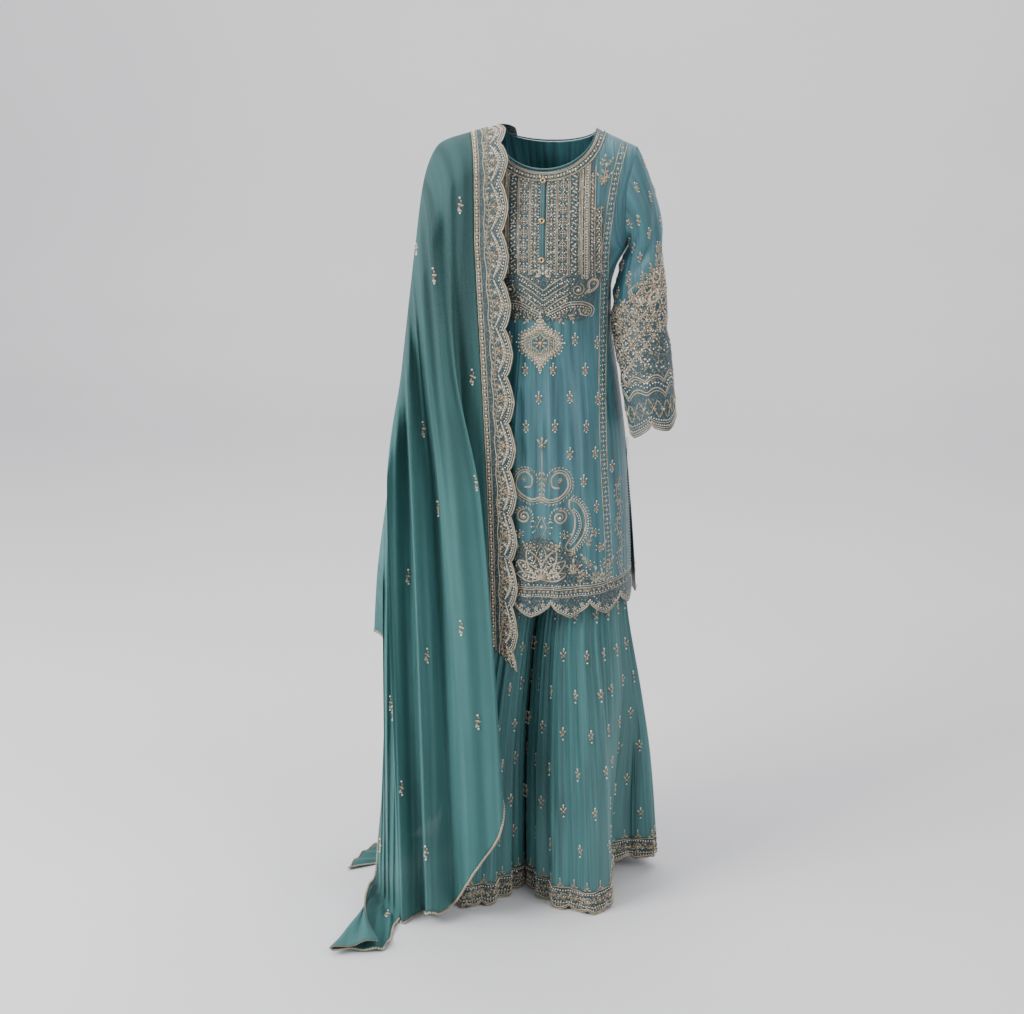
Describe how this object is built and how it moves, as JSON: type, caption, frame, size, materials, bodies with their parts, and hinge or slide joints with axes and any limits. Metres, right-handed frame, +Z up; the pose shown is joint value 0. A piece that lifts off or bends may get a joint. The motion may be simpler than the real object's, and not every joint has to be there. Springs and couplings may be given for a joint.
{
  "type": "gharara suit",
  "caption": "Worn kurta with scalloped hem and cuffs over wide gathered gharara legs, with a sheer dupatta over one shoulder, all beaded and embroidered.",
  "frame": {"origin": "midway between the neck ends of the kurta's two shoulder seams, where the wearer's shoulders carry the suit", "axes": "+Z up the wearer, -Y the way the wearer faces, +X to the wearer's left"},
  "size_m": [0.6515, 0.5509, 1.4827],
  "materials": {
    "kurta_satin": "satin",
    "gharara_organza": "sheer",
    "dupatta_chiffon": "sheer matt",
    "embroidered_border": "beaded",
    "binding_cord": "matt",
    "button_metal": "polished"
  },
  "bodies": {
    "root": {"kurta_front": "kurta_satin", "kurta_back": "kurta_satin", "sleeve_left": "kurta_satin", "sleeve_right": "kurta_satin", "neck_binding": "binding_cord", "front_placket": "binding_cord", "button_1": "button_metal", "button_2": "button_metal", "button_3": "button_metal", "gharara_waistband": "gharara_organza", "gharara_upper_left": "gharara_organza", "gharara_upper_right": "gharara_organza", "gharara_flare_left": "gharara_organza", "gharara_flare_right": "gharara_organza", "gharara_hem_left": "embroidered_border", "gharara_hem_right": "embroidered_border", "dupatta_cloth": "dupatta_chiffon", "dupatta_border": "embroidered_border"}
  },
  "joints": []
}
